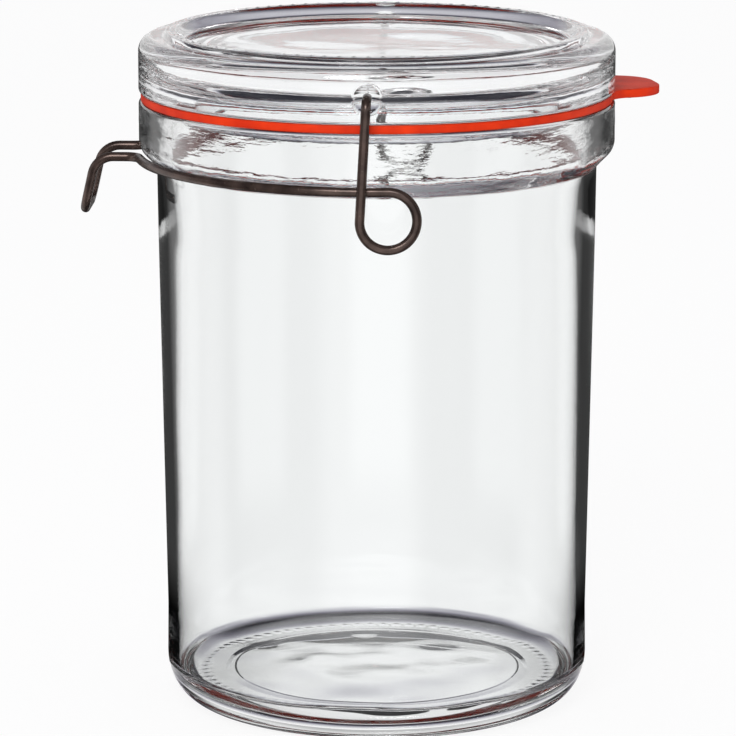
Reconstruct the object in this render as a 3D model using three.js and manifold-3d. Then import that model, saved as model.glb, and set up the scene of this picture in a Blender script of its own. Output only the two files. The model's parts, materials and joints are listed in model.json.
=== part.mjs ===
// A glass canning jar: body, rubber gasket, glass lid and a spring-wire bail that holds the lid down.
// Millimetres, +Z up, origin at the middle of the base. The front is -Y, the bail's handle points to -X
// and the gasket's pull tab to +X.
import * as THREE from "three";
import { mergeVertices } from "three/addons/utils/BufferGeometryUtils.js";
import Module from "manifold-3d";

const wasm = await Module();
wasm.setup();

// Jar body
const collarRadius = 56; // outside of the thick collar round the mouth, and of the lid on it
const collarOverhang = 4.2; // how far the collar stands out from the wall under it
const collarHeight = 15.1; // from where the collar's sloping underside leaves the wall up to the rim
const collarSlope = THREE.MathUtils.degToRad(45); // rise of that underside
const collarEdge = 4.3; // rounding between the underside and the collar's outside
const rimHeight = 144; // top of the rim
const rimEdge = 0.9; // rounding of the rim's two edges
const wallTaper = 1.6; // how much narrower the wall is at the heel than under the collar
const wallThickness = 3.1;
const heelWidth = 8.2; // heel rounding, measured across
const heelHeight = 10.6; // heel rounding, measured up
const footWidth = 5.6; // width of the flat ring that the jar stands on
const pushUpHeight = 2.5; // hollow under the base
const pushUpRun = 3.2; // width of the slope into that hollow
const floorHeight = 8; // inside floor above the table
const floorFillet = 10; // inside rounding between floor and wall

// Gasket
const gasketThickness = 2;
const gasketInset = 0.5; // the gasket's edge lies this far inside the collar's outside
const gasketPlay = 0.6; // gap between the gasket's hole and the lid's plug
const tabReach = 69.6; // tip of the pull tab from the jar's axis
const tabWidth = 24;
const tabCorner = 9.5;
const tabRoot = 6; // rounding where the tab leaves the ring
const tabTurn = THREE.MathUtils.degToRad(14); // the tab points this far behind +X

// Lid
const lidWall = 9.5; // straight part of the lid's outside
const lidShoulder = 3.5; // rounding above it
const lidFootEdge = 0.8; // rounding under it
const ridgeInset = 6.5; // outside of the stacking ridge, in from the lid's outside
const ridgeRise = 1.55; // ridge above the shoulder
const ridgeSlope = 0.8; // run of the ridge's outer slope
const ridgeWidth = 2.3; // flat top of the ridge
const panelDepth = 2.8; // sunken panel below the ridge
const panelSlope = 2.2; // run of the slope from the ridge to the panel
const panelThickness = 6;
const plugPlay = 2.1; // gap between the plug and the inside of the mouth
const plugDepth = 5.6; // plug below the lid's underside
const plugWall = 4.2; // wall of the plug's ring
const plugEdge = 1.6; // rounding of the plug's lower edges
const dimpleHeight = 5.9; // middle of the dimples above the lid's underside
const dimpleRadius = 3.3;
const dimpleDepth = 3;
const dimpleTaper = 0.9; // the dimple's floor is this much narrower than its mouth, on each side

// Bail
const wireDiameter = 2.2;
const wirePlay = 0.5; // gap from the wire's arcs to the collar's underside, enough to swing out from under it
const arcProud = 0.2; // middle of the arcs, out from the collar's outside
const hookPlay = 0.4; // gap between the wire's ends and the floors of the dimples
const crossingGap = 0.55; // gap where each arc passes behind its leg
const legLean = 1.5; // foot of each leg towards the handle, from the dimple above it
const hookBend = 2.4; // bend from the hooked end to the leg, at the middle of the wire
const springRadius = 6.4; // spring loop, at the middle of the wire
const handleWidth = 17; // distance between the handle's arms, at the middle of the wire
const handleReach = 69.6; // outside of the handle from the jar's axis
const handleDrop = 12.8; // crossbar below the arms
const handleLean = THREE.MathUtils.degToRad(12.7); // outward slant of the handle's drop
const handleBend = 5; // bend from the arms to the drop
const handleCorner = 3.6; // bends at the crossbar's ends
const armBend = 3.4; // bends from the arcs to the arms

// Fits shared by the stacked pieces
const seatGap = 0.05; // between rim and gasket, and between gasket and lid

// Fineness of the solids
const turnSegments = 64; // facets round the jar's axis
const bendSteps = 5; // steps in each bend of the wire
const roundingSteps = 2; // pairs of facets in each rounding of the glass
const wireSides = 8;
const springStep = THREE.MathUtils.degToRad(15);
const arcStep = THREE.MathUtils.degToRad(5);
const gapStep = 0.25; // spacing of the points on which the wire's gap to itself is measured

// Sizes that follow from the ones above
const collarFoot = rimHeight - collarHeight;
const wallRadiusTop = collarRadius - collarOverhang;
const wallRadiusHeel = wallRadiusTop - wallTaper;
const footRadius = wallRadiusHeel - heelWidth;
const mouthRadius = wallRadiusTop - wallThickness;
const plugRadius = mouthRadius - plugPlay;
const gasketFloor = rimHeight + seatGap;
const lidFloor = gasketFloor + gasketThickness + seatGap;
const shoulderHeight = lidFloor + lidWall + lidShoulder;
const ridgeHeight = shoulderHeight + ridgeRise;
const panelHeight = ridgeHeight - panelDepth;
const pivotHeight = lidFloor + dimpleHeight;
const wireRadius = wireDiameter / 2;

const glass = new THREE.MeshStandardMaterial({
  name: "clear_glass",
  color: 0xeef4f2,
  roughness: 0.05,
  metalness: 0,
  transparent: true,
  opacity: 0.35,
});
const rubber = new THREE.MeshStandardMaterial({
  name: "orange_rubber",
  color: 0xd8401a,
  roughness: 0.6,
  metalness: 0,
});
const springSteel = new THREE.MeshStandardMaterial({
  name: "oxidised_spring_steel",
  color: 0x6b5a55,
  roughness: 0.35,
  metalness: 1,
});

// An outline of radius and height, turned once round the jar's axis
function turned(path) {
  const points = path.getPoints(roundingSteps);
  const distinct = points.filter((point, i) => i === 0 || point.distanceTo(points[i - 1]) > 1e-4);
  return new THREE.LatheGeometry(distinct, turnSegments).rotateX(Math.PI / 2);
}

// A rounding that continues the path: it leaves the line towards `corner` and joins the line on to `next`
function roundTo(path, corner, next, radius) {
  const from = path.currentPoint.clone();
  const back = from.sub(corner).normalize();
  const ahead = next.clone().sub(corner).normalize();
  const half = Math.acos(THREE.MathUtils.clamp(back.dot(ahead), -1, 1)) / 2;
  const run = radius / Math.tan(half);
  const start = corner.clone().addScaledVector(back, run);
  const middle = back.clone().add(ahead).normalize();
  const centre = corner.clone().addScaledVector(middle, radius / Math.sin(half));
  const end = corner.clone().addScaledVector(ahead, run);
  const startAngle = start.clone().sub(centre).angle();
  const endAngle = end.clone().sub(centre).angle();
  const leftTurn = back.cross(ahead) < 0;
  path.lineTo(start.x, start.y);
  path.absarc(centre.x, centre.y, radius, startAngle, endAngle, !leftTurn);
}

// A closed mesh as a solid for cutting
function solidOf(geometry) {
  const bare = geometry.clone();
  bare.deleteAttribute("normal");
  bare.deleteAttribute("uv");
  const merged = mergeVertices(bare, 1e-4);
  const corners = merged.index.array;
  const kept = [];
  for (let i = 0; i < corners.length; i += 3) {
    const [a, b, c] = corners.slice(i, i + 3);
    if (a !== b && b !== c && c !== a) kept.push(a, b, c);
  }
  const mesh = new wasm.Mesh({
    numProp: 3,
    vertProperties: new Float32Array(merged.attributes.position.array),
    triVerts: new Uint32Array(kept),
  });
  return new wasm.Manifold(mesh);
}

function geometryOf(solid) {
  const mesh = solid.getMesh();
  const geometry = new THREE.BufferGeometry();
  geometry.setAttribute("position", new THREE.BufferAttribute(mesh.vertProperties, 3));
  geometry.setIndex(new THREE.BufferAttribute(mesh.triVerts, 1));
  geometry.computeVertexNormals();
  return geometry;
}

// The body: base ring, push-up, heel, tapered wall, collar and rim outside; straight-drafted hollow inside
function jarBodyGeometry() {
  const outline = new THREE.Path();
  const at = (radius, height) => new THREE.Vector2(radius, height);
  const footInner = footRadius - footWidth;
  outline.moveTo(0, pushUpHeight);
  outline.lineTo(footInner - pushUpRun, pushUpHeight);
  outline.lineTo(footInner, 0);
  outline.lineTo(footRadius, 0);
  outline.absellipse(footRadius, heelHeight, heelWidth, heelHeight, -Math.PI / 2, 0, false);
  outline.lineTo(wallRadiusTop, collarFoot);
  const collarCorner = at(collarRadius, collarFoot + collarOverhang * Math.tan(collarSlope));
  roundTo(outline, collarCorner, at(collarRadius, rimHeight), collarEdge);
  roundTo(outline, at(collarRadius, rimHeight), at(mouthRadius, rimHeight), rimEdge);
  roundTo(outline, at(mouthRadius, rimHeight), at(mouthRadius, floorHeight), rimEdge);
  const hollowRadius = wallRadiusHeel - wallThickness;
  outline.lineTo(mouthRadius, collarFoot);
  roundTo(outline, at(hollowRadius, floorHeight), at(0, floorHeight), floorFillet);
  outline.lineTo(0, floorHeight);
  return turned(outline);
}

// The gasket: a flat ring with a pull tab, drawn with the tab along +X
function gasketGeometry() {
  const ringRadius = collarRadius - gasketInset;
  const halfWidth = tabWidth / 2;
  const rootAcross = halfWidth + tabRoot;
  const rootAlong = Math.sqrt((ringRadius + tabRoot) ** 2 - rootAcross ** 2);
  const rootAngle = Math.atan2(rootAcross, rootAlong);
  const cornerAlong = tabReach - tabCorner;
  const cornerAcross = halfWidth - tabCorner;
  const outline = new THREE.Shape();
  const quarters = 4;
  const sweep = 2 * Math.PI - 2 * rootAngle;
  for (let i = 0; i < quarters; i += 1) {
    const start = rootAngle + (sweep * i) / quarters;
    outline.absarc(0, 0, ringRadius, start, start + sweep / quarters, false);
  }
  outline.absarc(rootAlong, -rootAcross, tabRoot, Math.PI - rootAngle, Math.PI / 2, true);
  outline.absarc(cornerAlong, -cornerAcross, tabCorner, -Math.PI / 2, 0, false);
  outline.absarc(cornerAlong, cornerAcross, tabCorner, 0, Math.PI / 2, false);
  outline.absarc(rootAlong, rootAcross, tabRoot, -Math.PI / 2, rootAngle - Math.PI, true);
  const hole = new THREE.Path();
  for (let i = 0; i < quarters; i += 1) {
    const start = (-Math.PI / 2) * i;
    hole.absarc(0, 0, plugRadius + gasketPlay, start, start - Math.PI / 2, true);
  }
  outline.holes.push(hole);
  return new THREE.ExtrudeGeometry(outline, {
    depth: gasketThickness,
    curveSegments: turnSegments / quarters / 2,
    bevelEnabled: false,
  });
}

// One dimple: a shallow tapered cup, pointing from outside the lid along +Y
function dimpleTool() {
  const overrun = 2;
  const mouthWider = (dimpleTaper * overrun) / dimpleDepth;
  const outline = new THREE.Path();
  outline.moveTo(0, -overrun);
  outline.lineTo(dimpleRadius + mouthWider, -overrun);
  outline.lineTo(dimpleRadius - dimpleTaper, dimpleDepth);
  outline.lineTo(0, dimpleDepth);
  return new THREE.LatheGeometry(outline.getPoints(), turnSegments / 4).translate(0, -collarRadius, 0);
}

// The lid: plug and hollow below, outer wall, shoulder, ridge and sunken panel above, two dimples in the wall
function lidGeometry() {
  const outline = new THREE.Path();
  const at = (radius, height) => new THREE.Vector2(radius, height);
  const ceiling = panelHeight - panelThickness;
  const plugFloor = lidFloor - plugDepth;
  const plugInner = plugRadius - plugWall;
  const ridgeOuter = collarRadius - ridgeInset;
  const ridgeInner = ridgeOuter - ridgeWidth;
  const wallTop = lidFloor + lidWall;
  outline.moveTo(0, ceiling);
  roundTo(outline, at(plugInner, ceiling), at(plugInner, plugFloor), plugEdge);
  roundTo(outline, at(plugInner, plugFloor), at(plugRadius, plugFloor), plugEdge);
  roundTo(outline, at(plugRadius, plugFloor), at(plugRadius, lidFloor), plugEdge);
  outline.lineTo(plugRadius, lidFloor);
  roundTo(outline, at(collarRadius, lidFloor), at(collarRadius, wallTop), lidFootEdge);
  outline.lineTo(collarRadius, wallTop);
  outline.absarc(collarRadius - lidShoulder, wallTop, lidShoulder, 0, Math.PI / 2, false);
  outline.lineTo(ridgeOuter + ridgeSlope, shoulderHeight);
  outline.lineTo(ridgeOuter, ridgeHeight);
  outline.lineTo(ridgeInner, ridgeHeight);
  outline.lineTo(ridgeInner - panelSlope, panelHeight);
  outline.lineTo(0, panelHeight);
  let lid = solidOf(turned(outline));
  for (const turn of [0, Math.PI]) {
    const tool = dimpleTool().rotateZ(turn).translate(0, 0, pivotHeight);
    lid = lid.subtract(solidOf(tool));
  }
  return geometryOf(lid);
}

// The route of the wire, one ring of the wire at each of its points
class WireRoute extends THREE.Curve {
  constructor(points) {
    super();
    this.points = points;
  }

  getPoint(t, target = new THREE.Vector3()) {
    const place = t * (this.points.length - 1);
    const i = Math.min(Math.floor(place), this.points.length - 2);
    return target.lerpVectors(this.points[i], this.points[i + 1], place - i);
  }

  getPointAt(u, target) {
    return this.getPoint(u, target);
  }

  getTangentAt(u, target) {
    return this.getTangent(u, target);
  }
}

// Points of a bend that leaves the line from `before` to `corner` and joins the line from there to `after`
function bend(before, corner, after, radius) {
  const back = before.clone().sub(corner).normalize();
  const ahead = after.clone().sub(corner).normalize();
  const half = back.angleTo(ahead) / 2;
  const run = radius / Math.tan(half);
  const middle = back.clone().add(ahead).normalize();
  const centre = corner.clone().addScaledVector(middle, radius / Math.sin(half));
  const start = corner.clone().addScaledVector(back, run).sub(centre);
  const end = corner.clone().addScaledVector(ahead, run).sub(centre);
  const sweep = start.angleTo(end);
  return Array.from({ length: bendSteps + 1 }, (unused, i) => {
    const share = i / bendSteps;
    const fromStart = Math.sin((1 - share) * sweep) / Math.sin(sweep);
    const fromEnd = Math.sin(share * sweep) / Math.sin(sweep);
    return centre.clone().addScaledVector(start, fromStart).addScaledVector(end, fromEnd);
  });
}

// The front half of the bail, from the end in the dimple to the middle of the handle's crossbar
function frontHalf() {
  const arcRadius = collarRadius + arcProud;
  const undersideAbove = collarFoot + (arcRadius - wallRadiusTop) * Math.tan(collarSlope);
  const arcHeight = undersideAbove - (wireRadius + wirePlay) / Math.cos(collarSlope);
  const legAcross = arcRadius + wireDiameter + crossingGap;
  const tipAcross = collarRadius - dimpleDepth + hookPlay;
  const springCentre = new THREE.Vector2(springRadius - legLean, arcHeight - springRadius);
  const springEndAcross = Math.sqrt(arcRadius ** 2 - springCentre.x ** 2);

  const tip = new THREE.Vector3(0, -tipAcross, pivotHeight);
  const legTop = new THREE.Vector3(0, -legAcross, pivotHeight);
  const legFoot = new THREE.Vector3(-legLean, -legAcross, springCentre.y);
  const route = [tip, ...bend(tip, legTop, legFoot, hookBend)];

  const springTurn = 1.5 * Math.PI;
  const springSteps = Math.round(springTurn / springStep);
  for (let i = 0; i <= springSteps; i += 1) {
    const share = i / springSteps;
    const angle = Math.PI + springTurn * share;
    const across = THREE.MathUtils.lerp(legAcross, springEndAcross, THREE.MathUtils.smoothstep(share, 0, 1));
    const x = springCentre.x + springRadius * Math.cos(angle);
    const z = springCentre.y + springRadius * Math.sin(angle);
    route.push(new THREE.Vector3(x, -across, z));
  }

  const onArc = (angle) => {
    const [x, y] = [-arcRadius * Math.sin(angle), -arcRadius * Math.cos(angle)];
    return new THREE.Vector3(x, y, arcHeight);
  };
  const armAngle = Math.acos(handleWidth / 2 / arcRadius);
  const arcStart = -Math.asin(springCentre.x / arcRadius);
  const arcEnd = armAngle - armBend / arcRadius;
  const arcSteps = Math.round((arcEnd - arcStart) / arcStep);
  for (let i = 1; i < arcSteps; i += 1) {
    route.push(onArc(THREE.MathUtils.lerp(arcStart, arcEnd, i / arcSteps)));
  }

  const armStart = onArc(armAngle);
  const crossbarX = -handleReach + wireRadius;
  const armEndX = crossbarX + handleDrop * Math.tan(handleLean);
  const armEnd = new THREE.Vector3(armEndX, armStart.y, arcHeight);
  const dropEnd = new THREE.Vector3(crossbarX, armStart.y, arcHeight - handleDrop);
  const crossbarMiddle = new THREE.Vector3(crossbarX, 0, dropEnd.z);
  const arcTangent = new THREE.Vector3(-Math.cos(armAngle), Math.sin(armAngle), 0);
  const beforeArm = armStart.clone().sub(arcTangent);
  route.push(...bend(beforeArm, armStart, armEnd, armBend));
  route.push(...bend(armStart, armEnd, dropEnd, handleBend));
  route.push(...bend(armEnd, dropEnd, crossbarMiddle, handleCorner));
  return route;
}

function bailRoute() {
  const front = frontHalf();
  const rear = front.map((point) => new THREE.Vector3(point.x, -point.y, point.z)).reverse();
  return [...front, ...rear];
}

// The least gap of the wire to itself, between points that are more than a few diameters apart along it
function leastSelfGap(route) {
  const fine = [];
  let travelled = 0;
  for (let i = 1; i < route.length; i += 1) {
    const length = route[i].distanceTo(route[i - 1]);
    const steps = Math.max(1, Math.ceil(length / gapStep));
    for (let k = 0; k < steps; k += 1) {
      const share = k / steps;
      const point = route[i - 1].clone().lerp(route[i], share);
      fine.push({ point, along: travelled + length * share });
    }
    travelled += length;
  }
  const apart = 4 * wireDiameter;
  let least = Infinity;
  for (let i = 0; i < fine.length; i += 1) {
    for (let k = i + 1; k < fine.length; k += 1) {
      if (fine[k].along - fine[i].along > apart) {
        least = Math.min(least, fine[i].point.distanceTo(fine[k].point));
      }
    }
  }
  return least - wireDiameter;
}

function bailGeometry() {
  const route = bailRoute();
  console.log(`wire_bail: least gap of the wire to itself ${leastSelfGap(route).toFixed(2)} mm`);
  const section = new THREE.Shape();
  for (let i = 0; i < wireSides; i += 1) {
    const angle = (2 * Math.PI * i) / wireSides;
    const [x, y] = [wireRadius * Math.cos(angle), wireRadius * Math.sin(angle)];
    if (i === 0) section.moveTo(x, y);
    else section.lineTo(x, y);
  }
  section.closePath();
  return new THREE.ExtrudeGeometry(section, { extrudePath: new WireRoute(route), steps: route.length - 1 });
}

function piece(name, geometry, material) {
  const mesh = new THREE.Mesh(geometry, material);
  mesh.name = name;
  return mesh;
}

const jar = new THREE.Group();
const gasket = piece("gasket", gasketGeometry(), rubber);
gasket.position.z = gasketFloor;
gasket.rotation.z = tabTurn;
jar.add(
  piece("jar_body", jarBodyGeometry(), glass),
  gasket,
  piece("lid", lidGeometry(), glass),
  piece("wire_bail", bailGeometry(), springSteel),
);

export default jar;
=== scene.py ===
import json
import math

import bmesh
import bpy
from mathutils import Matrix, Vector, noise


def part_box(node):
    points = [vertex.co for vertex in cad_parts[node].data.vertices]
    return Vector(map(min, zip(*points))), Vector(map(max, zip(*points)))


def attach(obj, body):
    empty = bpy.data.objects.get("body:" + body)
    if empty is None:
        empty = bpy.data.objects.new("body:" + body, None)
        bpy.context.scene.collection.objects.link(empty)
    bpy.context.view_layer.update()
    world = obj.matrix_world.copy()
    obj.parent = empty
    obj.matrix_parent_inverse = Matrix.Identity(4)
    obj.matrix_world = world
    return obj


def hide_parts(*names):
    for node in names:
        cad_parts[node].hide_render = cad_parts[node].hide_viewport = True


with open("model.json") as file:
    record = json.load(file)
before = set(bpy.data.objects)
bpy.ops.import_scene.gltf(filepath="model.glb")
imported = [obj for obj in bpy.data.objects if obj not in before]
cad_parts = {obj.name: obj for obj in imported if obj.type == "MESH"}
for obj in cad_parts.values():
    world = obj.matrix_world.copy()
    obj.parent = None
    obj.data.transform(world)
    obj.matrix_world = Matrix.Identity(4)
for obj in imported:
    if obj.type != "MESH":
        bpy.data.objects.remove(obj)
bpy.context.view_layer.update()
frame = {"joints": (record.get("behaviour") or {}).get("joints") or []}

MM = 0.001

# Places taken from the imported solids
JAR_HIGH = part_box("jar_body")[1]
LID_LOW, LID_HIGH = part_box("lid")
GASKET_LOW, GASKET_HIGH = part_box("gasket")
BAIL_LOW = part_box("wire_bail")[0]
COLLAR_RADIUS = JAR_HIGH.x
RIM_HEIGHT = JAR_HIGH.z
LID_FLOOR = GASKET_HIGH.z + 0.05 * MM
RIDGE_TOP = LID_HIGH.z
PLUG_FLOOR = LID_LOW.z
PIVOT_HEIGHT = next(j for j in frame["joints"] if j["name"] == "bail_swing")["pos_m"][2]

# Jar body
COLLAR_OVERHANG = 4.2 * MM
COLLAR_HEIGHT = 15.1 * MM
COLLAR_FOOT = RIM_HEIGHT - COLLAR_HEIGHT
COLLAR_EDGE = 4.3 * MM
COLLAR_ROOT = 0.8 * MM
RIM_EDGE = 0.9 * MM
WALL_TOP_RADIUS = COLLAR_RADIUS - COLLAR_OVERHANG
WALL_HEEL_RADIUS = WALL_TOP_RADIUS - 1.6 * MM
WALL = 3.1 * MM
WAIST_HEIGHT = 22 * MM
WAIST_DEPTH = 0.14 * MM
WAIST_ROUND = 60 * MM
TAPER_TOP = 112 * MM
TAPER_REST = 0.2 * MM  # widening that is left between the taper's top and the collar
TAPER_ROUND = 400 * MM
HEEL_WIDTH = 8.2 * MM
HEEL_HEIGHT = 10.6 * MM
FOOT_RADIUS = WALL_HEEL_RADIUS - HEEL_WIDTH
FOOT_INNER = FOOT_RADIUS - 5.6 * MM
FOOT_EDGE = 0.7 * MM
PUSH_UP = 1.6 * MM
DOME_RUN = 17 * MM
DOME_ROUND = 100 * MM
SEAM_RADIUS = 33.9 * MM  # the mould's parting line under the base
SEAM_LOW = 0.35 * MM
SEAM_STEP = 0.45 * MM
SEAM_RUN = 0.2 * MM
FLOOR_HEIGHT = 8 * MM
FLOOR_FILLET = 2 * MM
MOUTH_RADIUS = WALL_TOP_RADIUS - WALL
MOUTH_FOOT = COLLAR_FOOT - 1 * MM
MOUTH_ROUND = 40 * MM
HOLLOW_RADIUS = MOUTH_RADIUS - 1.1 * MM
HOLLOW_TOP = COLLAR_FOOT - 17 * MM  # below this height the hollow is a straight tube
HOLLOW_ROUND = 60 * MM
GRIP_MARKS = 80  # short radial marks under the base ring
GRIP_DEPTH = 0.25 * MM
GRIP_RADIUS = FOOT_RADIUS - 0.8 * MM
GRIP_HALF = 0.55 * MM

# Lid
PLUG_RADIUS = MOUTH_RADIUS - 2.1 * MM
PLUG_INNER = PLUG_RADIUS - 4.2 * MM
PLUG_EDGE = 1.6 * MM
PLUG_ROOT = 0.6 * MM
LID_EDGE = 0.9 * MM
LID_SHOULDER = 3.5 * MM
SHOULDER_HEIGHT = LID_FLOOR + 13 * MM
RIDGE_OUTER = COLLAR_RADIUS - 6.5 * MM
RIDGE_INNER = RIDGE_OUTER - 2.3 * MM
RIDGE_FOOT = 0.8 * MM  # run of the ridge's outer slope
RIDGE_ROOT = 0.5 * MM
RIDGE_OUTER_EDGE = 0.4 * MM
RIDGE_INNER_EDGE = 0.5 * MM
RIDGE_SLOPE = 1.8 * MM  # run of the ridge's inner slope
RIDGE_DOT = 0.2 * MM  # height of the small dots round the ridge's top
RIDGE_DOTS = 92
DOT_HALF = 0.4 * MM
PANEL_HEIGHT = RIDGE_TOP - 2.8 * MM
PANEL_THICKNESS = 6.6 * MM
PANEL_ROUND = 1.2 * MM
CEILING_FILLET = 5 * MM
CEILING_SAG = 0.8 * MM  # the panel is this much thicker in the middle
DIMPLE_RADIUS = 3.3 * MM
DIMPLE_DEPTH = 3 * MM
DIMPLE_RIM = 0.97  # share of the radius at which the dimple starts to sink
DIMPLE_ROUNDING = 0.75
DIMPLE_REFINED = 1.7  # the mesh is finer within this many radii

# Gasket
GASKET_RADIUS = COLLAR_RADIUS - 0.5 * MM
GASKET_HOLE = PLUG_RADIUS + 0.6 * MM
GASKET_EDGE = 0.3 * MM
TAB_REACH = 67.7 * MM
TAB_WIDTH = 24 * MM
TAB_CORNER = 9.5 * MM
TAB_ROOT = 6 * MM
TAB_TURN = math.radians(14)

# Bail
WIRE = 2.2 * MM
WIRE_PLAY = 0.5 * MM
ARC_RADIUS = COLLAR_RADIUS + 0.2 * MM
LEG_ACROSS = ARC_RADIUS + WIRE + 0.55 * MM
LEG_LEAN = 1.5 * MM
HOOK_BEND = 2.4 * MM
HOOK_PLAY = 0.4 * MM
SPRING_RADIUS = 6.4 * MM
SPRING_TURN = 1.5 * math.pi
HANDLE_WIDTH = 17 * MM
HANDLE_DROP = 12.8 * MM
HANDLE_LEAN = math.radians(12.7)
HANDLE_BEND = 5 * MM
HANDLE_CORNER = 3.6 * MM
ARM_BEND = 3.4 * MM
WIRE_END_EDGE = 0.3 * MM

# Slow waves of the pressed glass: depth, length, seed and, where it differs, length in height
INSIDE_WAVES = (0.05 * MM, 22 * MM, 1)
FLOOR_WAVES = (0.45 * MM, 21 * MM, 2)
BASE_WAVES = (0.32 * MM, 13 * MM, 3)
COLLAR_WAVES = (0.06 * MM, 8 * MM, 4, 2 * MM)
UNDERSIDE_WAVES = (0.1 * MM, 5 * MM, 7, 1.6 * MM)
PANEL_WAVES = (0.12 * MM, 24 * MM, 5)
PLUG_WAVES = (0.06 * MM, 5 * MM, 6)
SEED_STEPS = (7.3, 3.1, 5.7)

# How far the waves reach
FACING = 0.5  # least share of a normal that counts as facing up or down
BASE_MARGIN = 1 * MM
UNDERSIDE_HEIGHT = 6 * MM
UNDERSIDE_INSET = 0.5 * MM
PANEL_MARGIN = 3 * MM
PANEL_REACH = 1 * MM
PLUG_REACH = 4 * MM

# Depth of the fine level streaks in the glass
COLLAR_STREAKS = 0.05 * MM
LID_STREAKS = 0.008 * MM

# The floor, and a fence of dark panels and pale gaps that only mirrored rays meet
FLOOR_HALF = 4.0
FLOOR_DROP = 0.2 * MM
FLOOR_WHITE = 0.9  # share of plain white in what the lens sees of the floor
FENCE_RADIUS = 0.11
FENCE_TOP = 0.152
FENCE_FOOT = -0.02
FENCE_SIDES = 96
FENCE_GAPS = 4
FENCE_DARK = 0.04
FENCE_PALE = 0.85
FENCE_WAVE_DARK = -0.3
FENCE_WAVE_PALE = 0.6
FENCE_SKIRT = 0.018  # below this height the fence darkens all round
FENCE_SKIRT_SHARE = 0.05

# Light of the set: angles from the level, in degrees, between which it fades, and its levels
MIRRORED_FADE = (16, 26)
UPWARD_FADE = (9, 24)
DOWNWARD_FADE = (-50, -15)
FLOOR_FADE = (-72, -58)
WHITE = 1.0
MIRRORED_DIM = 0.05
THROUGH_DIM = 0.06
FLOOR_LEVEL = 0.9
DIFFUSE_LEVEL = 0.75
HALF_BOUNCE = 0.5  # a greater depth means at least one mirrored bounce

# Fineness of the meshes
ARC_STEP = math.radians(9)
RUN_STEP = 2 * MM
FINE_STEP = 0.6 * MM
MARK_STEPS = 4
HEEL_STEPS = 12
SPRING_STEPS = 48
COLLAR_ARC_STEPS = 60
GASKET_STEP = math.radians(3)
HOLE_SIDES = 160
WIRE_SIDES = 20
RIM_ANGLE = 1.2
SHARP_ANGLE = math.radians(35)
NEAR = 0.1 * MM
ON_WALL = 0.3 * MM
TOUCHING = 0.01 * MM
WELD = 0.001 * MM


def linear(hex_colour):
    """An sRGB hex colour as linear RGBA."""
    channels = [int(hex_colour[i:i + 2], 16) / 255 for i in (1, 3, 5)]
    return [c / 12.92 if c <= 0.04045 else ((c + 0.055) / 1.055) ** 2.4 for c in channels] + [1.0]


def add_node(tree, kind, inputs=None, **settings):
    """One node with its settings; each input is a value, or the socket that is linked to it."""
    made = tree.nodes.new(kind)
    for key, value in settings.items():
        setattr(made, key, value)
    for name, value in (inputs or {}).items():
        if isinstance(value, bpy.types.NodeSocket):
            tree.links.new(value, made.inputs[name])
        else:
            made.inputs[name].default_value = value
    return made


def new_material(name):
    material = bpy.data.materials.new(name)
    material.use_nodes = True
    material.node_tree.nodes.clear()
    return material, material.node_tree


def pressed_glass(name, tint, streaks_low, streaks_high, streak_depth):
    """Soda-lime glass, pressed in a mould and fire-polished.

    It is clear and sharp, with a faint slow ripple in its skin, and between two heights the skin
    also has fine level streaks that break up what is seen through it.
    """
    material, tree = new_material(name)
    place = add_node(tree, "ShaderNodeTexCoord").outputs["Object"]
    ripple_mm = 14
    ripple = add_node(tree, "ShaderNodeTexNoise", {
        "Vector": place,
        "Scale": 1 / (ripple_mm * MM),
        "Detail": 2,
    })
    bump = add_node(tree, "ShaderNodeBump", {
        "Height": ripple.outputs["Fac"],
        "Strength": 0.25,
        "Distance": 0.06 * MM,
    })
    streak_mm = 3.5
    streak_height_mm = 0.8
    streak_fade = 1.5 * MM
    flat = add_node(tree, "ShaderNodeMapping", {
        "Vector": place,
        "Scale": (1 / (streak_mm * MM), 1 / (streak_mm * MM), 1 / (streak_height_mm * MM)),
    })
    streak = add_node(tree, "ShaderNodeTexNoise", {
        "Vector": flat.outputs["Vector"],
        "Scale": 1.0,
        "Detail": 3,
    })
    height = add_node(tree, "ShaderNodeSeparateXYZ", {"Vector": place}).outputs["Z"]
    above = add_node(tree, "ShaderNodeMapRange", {
        "Value": height,
        "From Min": streaks_low,
        "From Max": streaks_low + streak_fade,
    })
    below = add_node(tree, "ShaderNodeMapRange", {
        "Value": height,
        "From Min": streaks_high,
        "From Max": streaks_high - streak_fade,
    })
    strength = add_node(tree, "ShaderNodeMath", {
        0: above.outputs[0],
        1: below.outputs[0],
    }, operation="MULTIPLY")
    streaked = add_node(tree, "ShaderNodeBump", {
        "Height": streak.outputs["Fac"],
        "Strength": strength.outputs[0],
        "Distance": streak_depth,
        "Normal": bump.outputs["Normal"],
    })
    shader = add_node(tree, "ShaderNodeBsdfPrincipled", {
        "Base Color": linear(tint),
        "Roughness": 0.0,
        "IOR": 1.47,
        "Transmission Weight": 1.0,
        "Normal": streaked.outputs["Normal"],
    })
    add_node(tree, "ShaderNodeOutputMaterial", {"Surface": shader.outputs["BSDF"]})
    return material


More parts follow.
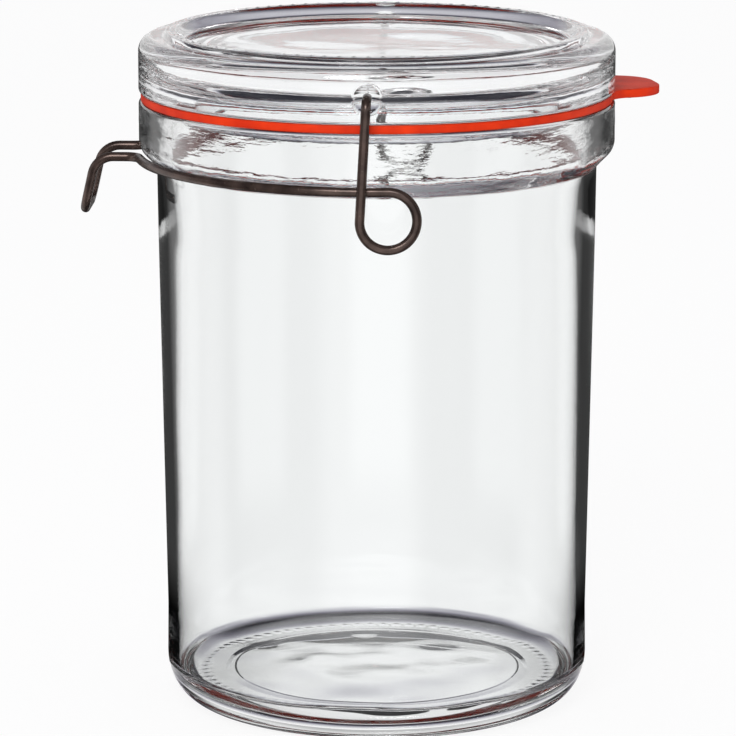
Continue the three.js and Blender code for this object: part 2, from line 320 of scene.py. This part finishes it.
def moulded_rubber():
    """Natural rubber, moulded and left bare.

    It is a saturated orange-red, satin, with a fine grain and faint blooming.
    """
    material, tree = new_material("moulded_orange_rubber")
    place = add_node(tree, "ShaderNodeTexCoord").outputs["Object"]
    bloom_mm = 7
    grain_mm = 0.5
    bloom = add_node(tree, "ShaderNodeTexNoise", {
        "Vector": place,
        "Scale": 1 / (bloom_mm * MM),
        "Detail": 4,
    })
    grain = add_node(tree, "ShaderNodeTexNoise", {
        "Vector": place,
        "Scale": 1 / (grain_mm * MM),
        "Detail": 3,
    })
    colour = add_node(tree, "ShaderNodeValToRGB", {"Fac": bloom.outputs["Fac"]})
    colour.color_ramp.elements[0].position = 0.3
    colour.color_ramp.elements[0].color = linear("#c82602")
    colour.color_ramp.elements[1].position = 0.75
    colour.color_ramp.elements[1].color = linear("#ea3a06")
    roughness = add_node(tree, "ShaderNodeMapRange", {
        "Value": grain.outputs["Fac"],
        "To Min": 0.42,
        "To Max": 0.62,
    })
    bump = add_node(tree, "ShaderNodeBump", {
        "Height": grain.outputs["Fac"],
        "Strength": 0.35,
        "Distance": 0.05 * MM,
    })
    shader = add_node(tree, "ShaderNodeBsdfPrincipled", {
        "Base Color": colour.outputs["Color"],
        "Roughness": roughness.outputs["Result"],
        "IOR": 1.52,
        "Specular IOR Level": 0.15,
        "Normal": bump.outputs["Normal"],
    })
    add_node(tree, "ShaderNodeOutputMaterial", {"Surface": shader.outputs["BSDF"]})
    return material


def browned_spring_steel():
    """Hard-drawn spring wire with a brown oxide skin.

    It is dark, warm and half-shiny, with cloudy patches of thinner oxide.
    """
    material, tree = new_material("browned_spring_steel")
    place = add_node(tree, "ShaderNodeTexCoord").outputs["Object"]
    cloud_mm = 4
    scratch_mm = 0.6
    cloud = add_node(tree, "ShaderNodeTexNoise", {
        "Vector": place,
        "Scale": 1 / (cloud_mm * MM),
        "Detail": 5,
    })
    scratch = add_node(tree, "ShaderNodeTexNoise", {
        "Vector": place,
        "Scale": 1 / (scratch_mm * MM),
        "Detail": 3,
    })
    colour = add_node(tree, "ShaderNodeValToRGB", {"Fac": cloud.outputs["Fac"]})
    colour.color_ramp.elements[0].position = 0.32
    colour.color_ramp.elements[0].color = linear("#3a2f2b")
    colour.color_ramp.elements[1].position = 0.72
    colour.color_ramp.elements[1].color = linear("#64534c")
    roughness = add_node(tree, "ShaderNodeMapRange", {
        "Value": scratch.outputs["Fac"],
        "To Min": 0.18,
        "To Max": 0.32,
    })
    bump = add_node(tree, "ShaderNodeBump", {
        "Height": scratch.outputs["Fac"],
        "Strength": 0.2,
        "Distance": 0.03 * MM,
    })
    shader = add_node(tree, "ShaderNodeBsdfPrincipled", {
        "Base Color": colour.outputs["Color"],
        "Metallic": 0.6,
        "Roughness": roughness.outputs["Result"],
        "Normal": bump.outputs["Normal"],
    })
    add_node(tree, "ShaderNodeOutputMaterial", {"Surface": shader.outputs["BSDF"]})
    return material


def add_object(name, bm, material):
    """The bmesh as an object in the scene."""
    mesh = bpy.data.meshes.new(name)
    bm.to_mesh(mesh)
    bm.free()
    mesh.materials.append(material)
    made = bpy.data.objects.new(name, mesh)
    bpy.context.scene.collection.objects.link(made)
    return made


def finish_piece(name, bm, material, body, node):
    """The bmesh as a smooth piece in the scene that rides on its body in place of its CAD node."""
    piece = add_object(name, bm, material)
    piece.data.shade_smooth()
    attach(piece, body)
    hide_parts(node)
    return piece


def bend(before, corner, after, radius):
    """Points of a round bend that leaves one straight run and joins the next."""
    back = (before - corner).normalized()
    ahead = (after - corner).normalized()
    half = back.angle(ahead) / 2
    run = radius / math.tan(half)
    centre = corner + (back + ahead).normalized() * (radius / math.sin(half))
    start = corner + back * run - centre
    end = corner + ahead * run - centre
    steps = max(2, math.ceil(start.angle(end) / ARC_STEP))
    return [centre + start.slerp(end, i / steps) * radius for i in range(steps + 1)]


def stepped(points, step):
    """The same line with no run longer than a step."""
    line = [points[0]]
    for point in points[1:]:
        count = max(1, math.ceil((point - line[-1]).length / step))
        first = line[-1]
        line += [first.lerp(point, i / count) for i in range(1, count + 1)]
    return line


def outline(corners, fine_above=math.inf):
    """A turned outline from corners of radius, height and rounding, with finer steps above a height."""
    places = [Vector((radius, 0, height)) for radius, height, rounding in corners]
    points = [places[0]]
    for i in range(1, len(corners) - 1):
        rounding = corners[i][2]
        points += bend(places[i - 1], places[i], places[i + 1], rounding) if rounding else [places[i]]
    points.append(places[-1])
    line = stepped(points, RUN_STEP)
    fine = []
    for before, after in zip(line, line[1:]):
        high = min(before.z, after.z) > fine_above
        fine += stepped([before, after], FINE_STEP)[:-1] if high else [before]
    return fine + line[-1:]


def turned(points, steps):
    """A closed body of revolution round the jar's axis, spun as one sector that is then copied round."""
    bm = bmesh.new()
    chain = [bm.verts.new(point) for point in points]
    edges = [bm.edges.new(pair) for pair in zip(chain, chain[1:])]
    sectors = 8
    sector = 2 * math.pi / sectors
    bmesh.ops.spin(
        bm,
        geom=chain + edges,
        axis=(0, 0, 1),
        cent=(0, 0, 0),
        angle=sector,
        steps=steps // sectors,
    )
    while sectors > 1:
        copy = bmesh.ops.duplicate(bm, geom=bm.verts[:] + bm.edges[:] + bm.faces[:])["geom"]
        copied = [g for g in copy if isinstance(g, bmesh.types.BMVert)]
        bmesh.ops.rotate(bm, verts=copied, cent=(0, 0, 0), matrix=Matrix.Rotation(sector, 3, "Z"))
        sector *= 2
        sectors //= 2
    bmesh.ops.remove_doubles(bm, verts=bm.verts, dist=WELD)
    bmesh.ops.recalc_face_normals(bm, faces=bm.faces)
    return bm


def heel_points():
    """The heel's rounding, wider in height than across."""
    points = []
    for i in range(HEEL_STEPS + 1):
        angle = math.pi / 2 * i / HEEL_STEPS
        radius = FOOT_RADIUS + HEEL_WIDTH * math.sin(angle)
        points.append(Vector((radius, 0, HEEL_HEIGHT * (1 - math.cos(angle)))))
    return points


def ripple(bm, chosen, amplitude, length, seed, height=None):
    """Moves the chosen vertices along their normals by a slow noise, as pressed glass leaves its mould."""
    bm.normal_update()
    offset = Vector([seed * step for step in SEED_STEPS])
    scale = Matrix.Diagonal((1 / length, 1 / length, 1 / (height or length)))
    moves = [(v, v.normal * amplitude * noise.noise(scale @ v.co + offset)) for v in chosen]
    for vertex, move in moves:
        vertex.co += move


def radius_of(vertex):
    return math.hypot(vertex.co.x, vertex.co.y)


def mark_number(vertex, steps):
    """Which of the steps round the jar's axis the vertex lies on."""
    return round(math.atan2(vertex.co.y, vertex.co.x) / (2 * math.pi) * steps)


def make_jar(glass):
    steps = GRIP_MARKS * MARK_STEPS
    lower = outline([
        (0, PUSH_UP, 0),
        (SEAM_RADIUS - DOME_RUN, PUSH_UP, DOME_ROUND),
        (SEAM_RADIUS - SEAM_RUN, SEAM_LOW + SEAM_STEP, 0),
        (SEAM_RADIUS, SEAM_LOW + SEAM_STEP, 0),
        (SEAM_RADIUS + SEAM_RUN, SEAM_LOW, 0),
        (SEAM_RADIUS + 2 * SEAM_RUN, SEAM_LOW, 0),
        (FOOT_INNER, 0, FOOT_EDGE),
        (GRIP_RADIUS - GRIP_HALF, 0, 0),
        (GRIP_RADIUS, 0, 0),
        (FOOT_RADIUS, 0, 0),
    ])
    underside_top = COLLAR_FOOT + COLLAR_OVERHANG
    upper = outline([
        (WALL_HEEL_RADIUS, HEEL_HEIGHT, 0),
        (WALL_HEEL_RADIUS - WAIST_DEPTH, WAIST_HEIGHT, WAIST_ROUND),
        (WALL_TOP_RADIUS - TAPER_REST, TAPER_TOP, TAPER_ROUND),
        (WALL_TOP_RADIUS, COLLAR_FOOT, COLLAR_ROOT),
        (COLLAR_RADIUS, underside_top, COLLAR_EDGE),
        (COLLAR_RADIUS, RIM_HEIGHT, RIM_EDGE),
        (MOUTH_RADIUS, RIM_HEIGHT, RIM_EDGE),
        (MOUTH_RADIUS, MOUTH_FOOT, MOUTH_ROUND),
        (HOLLOW_RADIUS, HOLLOW_TOP, HOLLOW_ROUND),
        (HOLLOW_RADIUS, FLOOR_HEIGHT, FLOOR_FILLET),
        (0, FLOOR_HEIGHT, 0),
    ], COLLAR_FOOT)
    bm = turned(lower + heel_points()[1:-1] + upper, steps)
    for vertex in bm.verts:
        on_mark = abs(radius_of(vertex) - GRIP_RADIUS) < NEAR and vertex.co.z < TOUCHING
        if on_mark and mark_number(vertex, steps) % MARK_STEPS == 0:
            vertex.co.z += GRIP_DEPTH
    below_rim = [v for v in bm.verts if v.co.z < RIM_HEIGHT - RIM_EDGE]
    inside = [v for v in below_rim if v.co.z > FLOOR_HEIGHT and v.normal.xy.dot(v.co.xy) < 0]
    floor = [v for v in below_rim if abs(v.co.z - FLOOR_HEIGHT) < FLOOR_FILLET and v.normal.z > FACING]
    base = [v for v in below_rim if v.normal.z < -FACING and radius_of(v) < SEAM_RADIUS - BASE_MARGIN]
    collar = [v for v in below_rim if v.co.z > COLLAR_FOOT]
    low_collar = [v for v in collar if v.co.z - COLLAR_FOOT < UNDERSIDE_HEIGHT]
    underside = [v for v in low_collar if radius_of(v) > WALL_TOP_RADIUS + UNDERSIDE_INSET]
    ripple(bm, inside, *INSIDE_WAVES)
    ripple(bm, floor, *FLOOR_WAVES)
    ripple(bm, base, *BASE_WAVES)
    ripple(bm, collar, *COLLAR_WAVES)
    ripple(bm, underside, *UNDERSIDE_WAVES)
    return finish_piece("pressed_jar", bm, glass, "jar", "jar_body")


def press_dimple(bm, side):
    """One smooth dimple in the lid's wall, at the front for side -1 and at the back for side 1."""
    middle = Vector((0, side * COLLAR_RADIUS, PIVOT_HEIGHT))
    reach = DIMPLE_RADIUS * DIMPLE_REFINED
    near = [e for e in bm.edges if all((v.co - middle).length < reach for v in e.verts)]
    bmesh.ops.subdivide_edges(bm, edges=near, cuts=3, use_grid_fill=True)
    for vertex in bm.verts:
        aside = math.hypot(vertex.co.x, vertex.co.z - PIVOT_HEIGHT) / (DIMPLE_RADIUS * DIMPLE_RIM)
        on_wall = abs(radius_of(vertex) - COLLAR_RADIUS) < ON_WALL and vertex.co.y * side > 0
        if on_wall and aside < 1:
            vertex.co.y -= side * DIMPLE_DEPTH * (1 - aside ** 2) ** DIMPLE_ROUNDING


def make_lid(glass):
    steps = RIDGE_DOTS * MARK_STEPS
    ceiling = PANEL_HEIGHT - PANEL_THICKNESS
    ridge = RIDGE_TOP - RIDGE_DOT
    dot_middle = (RIDGE_OUTER + RIDGE_INNER) / 2
    points = outline([
        (0, ceiling, 0),
        (PLUG_INNER, ceiling, CEILING_FILLET),
        (PLUG_INNER, PLUG_FLOOR, PLUG_EDGE),
        (PLUG_RADIUS, PLUG_FLOOR, PLUG_EDGE),
        (PLUG_RADIUS, LID_FLOOR, PLUG_ROOT),
        (COLLAR_RADIUS, LID_FLOOR, LID_EDGE),
        (COLLAR_RADIUS, SHOULDER_HEIGHT, LID_SHOULDER),
        (RIDGE_OUTER + RIDGE_FOOT, SHOULDER_HEIGHT, RIDGE_ROOT),
        (RIDGE_OUTER, ridge, RIDGE_OUTER_EDGE),
        (dot_middle + DOT_HALF, ridge, 0),
        (dot_middle, ridge, 0),
        (dot_middle - DOT_HALF, ridge, 0),
        (RIDGE_INNER, ridge, RIDGE_INNER_EDGE),
        (RIDGE_INNER - RIDGE_SLOPE, PANEL_HEIGHT, PANEL_ROUND),
        (0, PANEL_HEIGHT, 0),
    ])
    bm = turned(points, steps)
    for vertex in bm.verts:
        on_dot = abs(radius_of(vertex) - dot_middle) < NEAR and abs(vertex.co.z - ridge) < TOUCHING
        if on_dot and mark_number(vertex, steps) % MARK_STEPS == 0:
            vertex.co.z += RIDGE_DOT
        out = radius_of(vertex) / (PLUG_INNER - CEILING_FILLET)
        if out < 1 and abs(vertex.co.z - ceiling) < TOUCHING:
            vertex.co.z -= CEILING_SAG * (1 - out ** 2)
    above = [v for v in bm.verts if v.co.z > ceiling - PANEL_REACH]
    panel = [v for v in above if radius_of(v) < RIDGE_INNER - PANEL_MARGIN]
    low = [v for v in bm.verts if v.co.z < LID_FLOOR + PLUG_REACH]
    plug = [v for v in low if radius_of(v) < PLUG_RADIUS + NEAR]
    ripple(bm, panel, *PANEL_WAVES)
    ripple(bm, plug, *PLUG_WAVES)
    for side in (-1, 1):
        press_dimple(bm, side)
    return finish_piece("pressed_lid", bm, glass, "cover", "lid")


def arc_on(bm, vertex, centre, angle):
    """Carries an outline on from a vertex along an arc and returns its last vertex."""
    steps = max(2, math.ceil(abs(angle) / GASKET_STEP))
    made = bmesh.ops.spin(bm, geom=[vertex], cent=centre, axis=(0, 0, 1), angle=angle, steps=steps)
    return next(g for g in made["geom_last"] if isinstance(g, bmesh.types.BMVert))


def make_gasket(rubber):
    """A flat ring with a pull tab, drawn with the tab along +X and then turned."""
    half_width = TAB_WIDTH / 2
    root_across = half_width + TAB_ROOT
    root_along = math.sqrt((GASKET_RADIUS + TAB_ROOT) ** 2 - root_across ** 2)
    root_angle = math.atan2(root_across, root_along)
    corner = Vector((TAB_REACH - TAB_CORNER, half_width - TAB_CORNER, 0))
    bm = bmesh.new()
    start = Vector((math.cos(root_angle), math.sin(root_angle), 0)) * GASKET_RADIUS
    first = bm.verts.new(start)
    last = arc_on(bm, first, (0, 0, 0), 2 * math.pi - 2 * root_angle)
    last = arc_on(bm, last, (root_along, -root_across, 0), root_angle - math.pi / 2)
    side = bm.verts.new((corner.x, -half_width, 0))
    bm.edges.new((last, side))
    last = arc_on(bm, side, (corner.x, -corner.y, 0), math.pi / 2)
    tip = bm.verts.new((TAB_REACH, corner.y, 0))
    bm.edges.new((last, tip))
    last = arc_on(bm, tip, corner, math.pi / 2)
    side = bm.verts.new((root_along, half_width, 0))
    bm.edges.new((last, side))
    arc_on(bm, side, (root_along, root_across, 0), root_angle - math.pi / 2)
    bmesh.ops.remove_doubles(bm, verts=bm.verts, dist=TOUCHING)
    outer = list(bm.edges)
    hole = bmesh.ops.create_circle(bm, cap_ends=False, segments=HOLE_SIDES, radius=GASKET_HOLE)
    inner = list({e for v in hole["verts"] for e in v.link_edges})
    bmesh.ops.triangle_fill(bm, use_beauty=True, edges=outer + inner, normal=(0, 0, 1))
    raised = bmesh.ops.extrude_face_region(bm, geom=list(bm.faces))
    lifted = [g for g in raised["geom"] if isinstance(g, bmesh.types.BMVert)]
    bmesh.ops.translate(bm, verts=lifted, vec=(0, 0, GASKET_HIGH.z - GASKET_LOW.z))
    bmesh.ops.recalc_face_normals(bm, faces=bm.faces)
    rims = [e for e in bm.edges if e.calc_face_angle(0) > RIM_ANGLE]
    bmesh.ops.bevel(bm, geom=rims, offset=GASKET_EDGE, affect="EDGES", segments=3, profile=0.5, material=-1)
    place = Matrix.Translation((0, 0, GASKET_LOW.z)) @ Matrix.Rotation(TAB_TURN, 4, "Z")
    bmesh.ops.transform(bm, matrix=place, verts=bm.verts)
    piece = finish_piece("rubber_gasket", bm, rubber, "seal", "gasket")
    piece.data.set_sharp_from_angle(angle=SHARP_ANGLE)
    return piece


def bail_route():
    """The wire's middle line: hook, leg, spring loop, arc under the collar, arm and handle, then mirrored."""
    arc_height = COLLAR_FOOT + (ARC_RADIUS - WALL_TOP_RADIUS) - (WIRE / 2 + WIRE_PLAY) * math.sqrt(2)
    spring = Vector((SPRING_RADIUS - LEG_LEAN, 0, arc_height - SPRING_RADIUS))
    spring_end = math.sqrt(ARC_RADIUS ** 2 - spring.x ** 2)
    tip = Vector((0, -(COLLAR_RADIUS - DIMPLE_DEPTH + HOOK_PLAY), PIVOT_HEIGHT))
    leg_top = Vector((0, -LEG_ACROSS, PIVOT_HEIGHT))
    leg_foot = Vector((-LEG_LEAN, -LEG_ACROSS, spring.z))
    route = [tip] + bend(tip, leg_top, leg_foot, HOOK_BEND)
    for i in range(SPRING_STEPS + 1):
        share = i / SPRING_STEPS
        angle = math.pi + SPRING_TURN * share
        across = LEG_ACROSS + (spring_end - LEG_ACROSS) * share * share * (3 - 2 * share)
        x = spring.x + SPRING_RADIUS * math.cos(angle)
        route.append(Vector((x, -across, spring.z + SPRING_RADIUS * math.sin(angle))))
    arm_angle = math.acos(HANDLE_WIDTH / 2 / ARC_RADIUS)
    arc_start = -math.asin(spring.x / ARC_RADIUS)
    arc_end = arm_angle - ARM_BEND / ARC_RADIUS
    for i in range(1, COLLAR_ARC_STEPS):
        angle = arc_start + (arc_end - arc_start) * i / COLLAR_ARC_STEPS
        route.append(Vector((-ARC_RADIUS * math.sin(angle), -ARC_RADIUS * math.cos(angle), arc_height)))
    arm_start = Vector((-ARC_RADIUS * math.sin(arm_angle), -HANDLE_WIDTH / 2, arc_height))
    crossbar_x = BAIL_LOW.x + WIRE / 2
    arm_end = Vector((crossbar_x + HANDLE_DROP * math.tan(HANDLE_LEAN), arm_start.y, arc_height))
    drop_end = Vector((crossbar_x, arm_start.y, arc_height - HANDLE_DROP))
    middle = Vector((crossbar_x, 0, drop_end.z))
    before_arm = arm_start + Vector((math.cos(arm_angle), -math.sin(arm_angle), 0))
    route += bend(before_arm, arm_start, arm_end, ARM_BEND)
    route += bend(arm_start, arm_end, drop_end, HANDLE_BEND)
    route += bend(arm_end, drop_end, middle, HANDLE_CORNER)
    mirrored = [Vector((p.x, -p.y, p.z)) for p in reversed(route)]
    return route + mirrored


def rim_of(ring):
    """The edges between the vertices of a ring."""
    return list({e for v in ring for e in v.link_edges if e.other_vert(v) in ring})


def make_bail(steel):
    """A round section carried along the route, turned at each point into the wire's own direction."""
    route = stepped(bail_route(), RUN_STEP)
    bm = bmesh.new()
    ring = bmesh.ops.create_circle(bm, cap_ends=True, segments=WIRE_SIDES, radius=WIRE / 2)["verts"]
    heading = Vector((0, 0, 1))
    place = Vector()
    for i, point in enumerate(route):
        before = route[max(i - 1, 0)]
        after = route[min(i + 1, len(route) - 1)]
        ahead = (after - before).normalized()
        if i > 0:
            made = bmesh.ops.extrude_edge_only(bm, edges=rim_of(ring))["geom"]
            ring = [g for g in made if isinstance(g, bmesh.types.BMVert)]
        turn = heading.rotation_difference(ahead).to_matrix()
        bmesh.ops.translate(bm, verts=ring, vec=point - place)
        bmesh.ops.rotate(bm, verts=ring, cent=point, matrix=turn)
        heading = ahead
        place = point
    bmesh.ops.contextual_create(bm, geom=rim_of(ring))
    bmesh.ops.recalc_face_normals(bm, faces=bm.faces)
    ends = [e for f in bm.faces if len(f.verts) == WIRE_SIDES for e in f.edges]
    bmesh.ops.bevel(bm, geom=ends, offset=WIRE_END_EDGE, affect="EDGES", segments=3, profile=0.5, material=-1)
    return finish_piece("bail_wire", bm, steel, "bail", "wire_bail")


def add_floor():
    """A pale floor, white to the lens with the jar's faint shadow; the glass sees the white set instead."""
    material, tree = new_material("pale_floor")
    rays = add_node(tree, "ShaderNodeLightPath").outputs
    matt = add_node(tree, "ShaderNodeBsdfDiffuse", {"Color": linear("#fafaf9")})
    white = add_node(tree, "ShaderNodeEmission", {"Color": linear("#ffffff"), "Strength": 1.0})
    share = add_node(tree, "ShaderNodeMath", {0: rays["Is Camera Ray"], 1: FLOOR_WHITE}, operation="MULTIPLY")
    both = add_node(tree, "ShaderNodeMixShader", {
        0: share.outputs[0],
        1: matt.outputs[0],
        2: white.outputs[0],
    })
    add_node(tree, "ShaderNodeOutputMaterial", {"Surface": both.outputs[0]})
    bm = bmesh.new()
    bmesh.ops.create_grid(bm, x_segments=1, y_segments=1, size=FLOOR_HALF)
    bmesh.ops.translate(bm, verts=bm.verts, vec=(0, 0, -FLOOR_DROP))
    floor = add_object("floor", bm, material)
    floor.visible_transmission = False
    floor.visible_glossy = False


def add_fence():
    """A fence round the jar that only mirrored rays meet: its dark panels draw the edges of the glass."""
    material, tree = new_material("fence_card")
    rays = add_node(tree, "ShaderNodeLightPath").outputs
    bounced = add_node(tree, "ShaderNodeMath", {
        0: rays["Glossy Depth"],
        1: HALF_BOUNCE,
    }, operation="GREATER_THAN")
    clear = add_node(tree, "ShaderNodeBsdfTransparent")
    place = add_node(tree, "ShaderNodeTexCoord").outputs["Object"]
    across = add_node(tree, "ShaderNodeSeparateXYZ", {"Vector": place}).outputs
    azimuth = add_node(tree, "ShaderNodeMath", {0: across["Y"], 1: across["X"]}, operation="ARCTAN2")
    repeated = add_node(tree, "ShaderNodeMath", {0: azimuth.outputs[0], 1: FENCE_GAPS}, operation="MULTIPLY")
    wave = add_node(tree, "ShaderNodeMath", {0: repeated.outputs[0]}, operation="COSINE")
    level = add_node(tree, "ShaderNodeMapRange", {
        "Value": wave.outputs[0],
        "From Min": FENCE_WAVE_DARK,
        "From Max": FENCE_WAVE_PALE,
        "To Min": FENCE_DARK,
        "To Max": FENCE_PALE,
    }, interpolation_type="SMOOTHSTEP")
    skirt = add_node(tree, "ShaderNodeMapRange", {
        "Value": across["Z"],
        "From Min": 0.0,
        "From Max": FENCE_SKIRT,
        "To Min": FENCE_SKIRT_SHARE,
        "To Max": 1.0,
    }, interpolation_type="SMOOTHSTEP")
    shade = add_node(tree, "ShaderNodeMath", {
        0: level.outputs[0],
        1: skirt.outputs[0],
    }, operation="MULTIPLY")
    card = add_node(tree, "ShaderNodeEmission", {"Color": linear("#ffffff"), "Strength": shade.outputs[0]})
    both = add_node(tree, "ShaderNodeMixShader", {
        0: bounced.outputs[0],
        1: clear.outputs[0],
        2: card.outputs[0],
    })
    add_node(tree, "ShaderNodeOutputMaterial", {"Surface": both.outputs[0]})
    bm = bmesh.new()
    ring = bmesh.ops.create_circle(bm, cap_ends=False, segments=FENCE_SIDES, radius=FENCE_RADIUS)["verts"]
    bmesh.ops.translate(bm, verts=ring, vec=(0, 0, FENCE_TOP))
    drop = bmesh.ops.extrude_edge_only(bm, edges=bm.edges[:])["geom"]
    lowered = [g for g in drop if isinstance(g, bmesh.types.BMVert)]
    bmesh.ops.translate(bm, verts=lowered, vec=(0, 0, FENCE_FOOT - FENCE_TOP))
    fence = add_object("fence", bm, material)
    fence.visible_camera = False
    fence.visible_diffuse = False
    fence.visible_shadow = False


def add_world():
    """A white set. To the lens it is plain white; in the glass it fades above and below the level."""
    world = bpy.data.worlds.new("studio")
    world.use_nodes = True
    tree = world.node_tree
    tree.nodes.clear()
    rays = add_node(tree, "ShaderNodeLightPath").outputs
    heading = add_node(tree, "ShaderNodeTexCoord").outputs["Generated"]
    along = add_node(tree, "ShaderNodeSeparateXYZ", {"Vector": heading}).outputs
    lift = add_node(tree, "ShaderNodeMath", {0: along["Z"]}, operation="ABSOLUTE")
    fades = {}
    for name, height, angles, levels in (
        ("mirrored", lift.outputs[0], MIRRORED_FADE, (WHITE, MIRRORED_DIM)),
        ("upward", along["Z"], UPWARD_FADE, (WHITE, THROUGH_DIM)),
        ("downward", along["Z"], DOWNWARD_FADE, (THROUGH_DIM, WHITE)),
        ("floor", along["Z"], FLOOR_FADE, (FLOOR_LEVEL, THROUGH_DIM)),
    ):
        fades[name] = add_node(tree, "ShaderNodeMapRange", {
            "Value": height,
            "From Min": math.sin(math.radians(angles[0])),
            "From Max": math.sin(math.radians(angles[1])),
            "To Min": levels[0],
            "To Max": levels[1],
        }, interpolation_type="SMOOTHSTEP").outputs[0]
    below = add_node(tree, "ShaderNodeMath", {0: fades["downward"], 1: fades["floor"]}, operation="MAXIMUM")
    through = add_node(tree, "ShaderNodeMath", {0: fades["upward"], 1: below.outputs[0]}, operation="MINIMUM")
    bounced = add_node(tree, "ShaderNodeMath", {
        0: rays["Glossy Depth"],
        1: HALF_BOUNCE,
    }, operation="GREATER_THAN")
    glass = add_node(tree, "ShaderNodeMix", {
        "Factor": bounced.outputs[0],
        "A": through.outputs[0],
        "B": fades["mirrored"],
    })
    plain = add_node(tree, "ShaderNodeMath", {
        0: rays["Is Camera Ray"],
        1: rays["Is Diffuse Ray"],
    }, operation="MAXIMUM")
    matt = add_node(tree, "ShaderNodeMath", {
        0: rays["Is Diffuse Ray"],
        1: DIFFUSE_LEVEL - WHITE,
        2: WHITE,
    }, operation="MULTIPLY_ADD")
    level = add_node(tree, "ShaderNodeMix", {
        "Factor": plain.outputs[0],
        "A": glass.outputs[0],
        "B": matt.outputs[0],
    })
    tone = add_node(tree, "ShaderNodeMix", {
        "Factor": level.outputs[0],
        "A": linear("#cfcbe6"),
        "B": linear("#ffffff"),
    }, data_type="RGBA")
    light = add_node(tree, "ShaderNodeBackground", {
        "Color": tone.outputs["Result"],
        "Strength": level.outputs[0],
    })
    add_node(tree, "ShaderNodeOutputWorld", {"Surface": light.outputs[0]})
    bpy.context.scene.world = world


def add_lamp(name, place, aim, size, watts):
    """A round soft light, size in metres."""
    data = bpy.data.lights.new(name, "AREA")
    data.shape = "DISK"
    data.size = size
    data.energy = watts
    lamp = bpy.data.objects.new(name, data)
    lamp.location = place
    lamp.rotation_euler = (Vector(aim) - Vector(place)).to_track_quat("-Z", "Y").to_euler()
    bpy.context.scene.collection.objects.link(lamp)


def add_camera():
    """A long lens at the photograph's place: a little above the lid and a touch to the right of the front."""
    focal_pixels = 4620
    picture_pixels = 736
    axis_right_pixels = 8.9
    distance = 1.077
    height = 0.3047
    azimuth = math.radians(2.3)
    pitch = math.radians(11.83)
    data = bpy.data.cameras.new("lens")
    data.sensor_width = 36
    data.lens = data.sensor_width * focal_pixels / picture_pixels
    data.clip_start = 0.05
    camera = bpy.data.objects.new("lens", data)
    camera.location = (distance * math.sin(azimuth), -distance * math.cos(azimuth), height)
    camera.rotation_euler = (math.pi / 2 - pitch, 0, azimuth + math.atan(axis_right_pixels / focal_pixels))
    bpy.context.scene.collection.objects.link(camera)
    bpy.context.scene.camera = camera


add_camera()
body_glass = pressed_glass("pressed_body_glass", "#fdfefe", COLLAR_FOOT, RIM_HEIGHT, COLLAR_STREAKS)
lid_glass = pressed_glass("pressed_lid_glass", "#fbfcfd", LID_FLOOR, SHOULDER_HEIGHT, LID_STREAKS)
make_jar(body_glass)
make_lid(lid_glass)
make_gasket(moulded_rubber())
make_bail(browned_spring_steel())
add_floor()
add_fence()
add_world()
add_lamp("soft_key", place=(-0.15, -1.0, 0.8), aim=(0, 0, 0.1), size=0.6, watts=7)

scene = bpy.context.scene
scene.view_settings.view_transform = "Standard"
scene.cycles.max_bounces = 32
scene.cycles.transmission_bounces = 32
scene.cycles.glossy_bounces = 16
